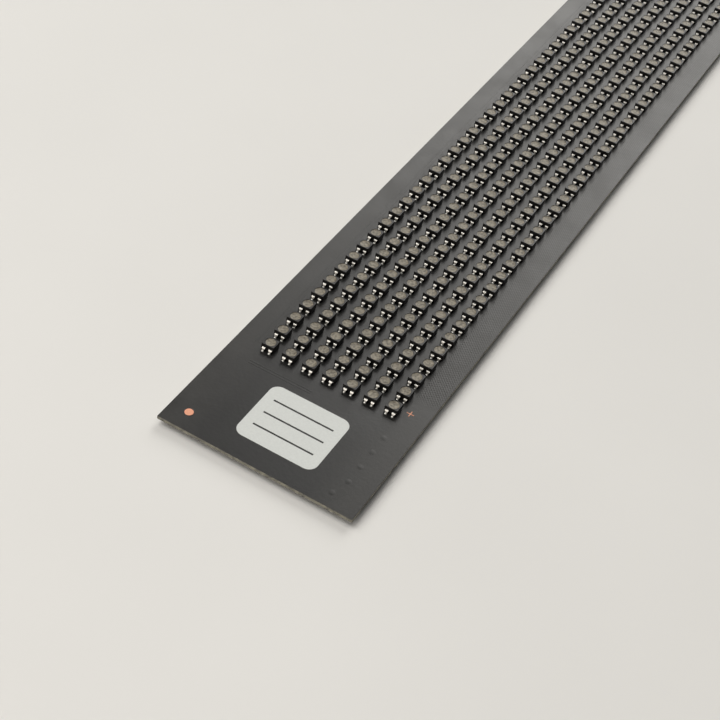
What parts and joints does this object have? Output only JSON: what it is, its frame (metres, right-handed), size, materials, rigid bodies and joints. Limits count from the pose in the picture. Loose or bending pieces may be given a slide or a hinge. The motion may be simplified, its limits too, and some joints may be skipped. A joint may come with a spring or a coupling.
{
  "type": "led dot matrix",
  "caption": "Long thin circuit board with rows of square black surface-mount LEDs at one pitch, milky round windows, solder joints, and small capacitors on its back.",
  "frame": {"origin": "under the middle of the board, on the surface that the capacitors on its back stand on", "axes": "+X across the rows of LEDs, +Y along the board away from the printed end, +Z out of the lit face"},
  "size_m": [0.03, 0.2706, 0.0025],
  "materials": {
    "solder_mask": "satin black solder mask on fibreglass laminate",
    "white_ink": "matt white print",
    "bare_copper": "bare copper",
    "tinned_copper": "tinned copper pad",
    "capacitor_ceramic": "tan ceramic",
    "tinned_metal": "tinned end cap",
    "housing_black": "matt black moulded plastic",
    "milky_resin": "milky beige resin",
    "plated_lead": "silver plated copper",
    "solder": "bright solder"
  },
  "bodies": {
    "root": {"board": "solder_mask", "write_on_panel": "white_ink", "copper_dots": "bare_copper", "copper_crosses": "bare_copper", "wire_pads_near": "tinned_copper", "back_signs_near": "white_ink", "wire_pads_far": "tinned_copper", "back_signs_far": "white_ink", "capacitor_cores": "capacitor_ceramic", "capacitor_end_caps": "tinned_metal", "led_housings_row_1": "housing_black", "led_windows_row_1": "milky_resin", "led_leads_row_1": "plated_lead", "solder_joints_row_1": "solder", "led_housings_row_2": "housing_black", "led_windows_row_2": "milky_resin", "led_leads_row_2": "plated_lead", "solder_joints_row_2": "solder", "led_housings_row_3": "housing_black", "led_windows_row_3": "milky_resin", "led_leads_row_3": "plated_lead", "solder_joints_row_3": "solder", "led_housings_row_4": "housing_black", "led_windows_row_4": "milky_resin", "led_leads_row_4": "plated_lead", "solder_joints_row_4": "solder", "led_housings_row_5": "housing_black", "led_windows_row_5": "milky_resin", "led_leads_row_5": "plated_lead", "solder_joints_row_5": "solder", "led_housings_row_6": "housing_black", "led_windows_row_6": "milky_resin", "led_leads_row_6": "plated_lead", "solder_joints_row_6": "solder", "led_housings_row_7": "housing_black", "led_windows_row_7": "milky_resin", "led_leads_row_7": "plated_lead", "solder_joints_row_7": "solder"}
  },
  "joints": []
}
